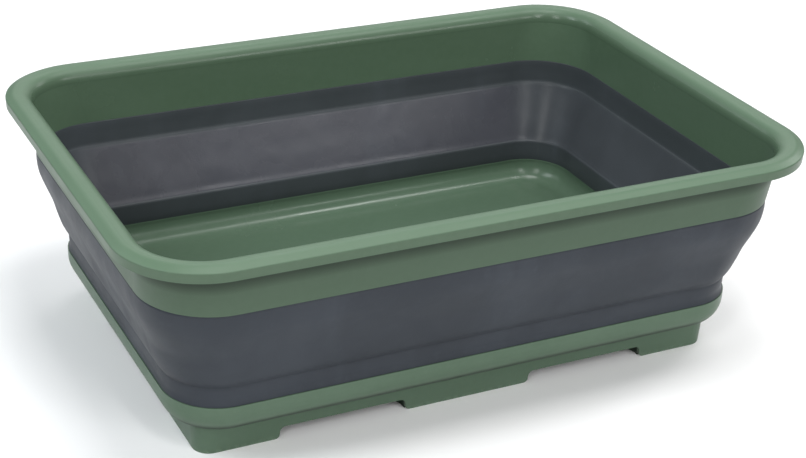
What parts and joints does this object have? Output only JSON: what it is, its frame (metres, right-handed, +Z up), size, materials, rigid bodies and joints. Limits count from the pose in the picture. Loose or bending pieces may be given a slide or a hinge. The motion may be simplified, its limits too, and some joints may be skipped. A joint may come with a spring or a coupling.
{
  "type": "collapsible washing-up bowl",
  "caption": "Rectangular washing-up bowl that collapses: a rigid flanged rim and a rigid footed base joined by a folding rubber wall, so that the rim sinks over the base to pack flat.",
  "frame": {"origin": "centre of the footprint, on the ground plane under the feet", "axes": "+X along the long sides, +Y from the front long side to the back one, +Z up, out of the bowl's mouth"},
  "size_m": [0.38, 0.2664, 0.1245],
  "materials": {
    "rim_plastic": "satin moulded polypropylene, sage green",
    "base_plastic": "satin moulded polypropylene, sage green",
    "wall_rubber": "satin thermoplastic rubber, dark blue grey"
  },
  "bodies": {
    "base": {"base_tray": "base_plastic", "lower_fold_band": "wall_rubber"},
    "fold_panel": {"wall_panel": "wall_rubber"},
    "rim": {"rim_frame": "rim_plastic", "upper_fold_band": "wall_rubber"}
  },
  "joints": [
    {"name": "collapse", "type": "slide", "parent": "base", "child": "rim", "axis": [0, 0, -1], "range_m": [0, 0.07]},
    {"name": "panel_fold", "type": "slide", "parent": "base", "child": "fold_panel", "axis": [0, 0, -1], "range_m": [0, 0.035]}
  ],
  "couplings": [
    {"joint": "panel_fold", "follows": "collapse", "ratio": 0.5}
  ]
}
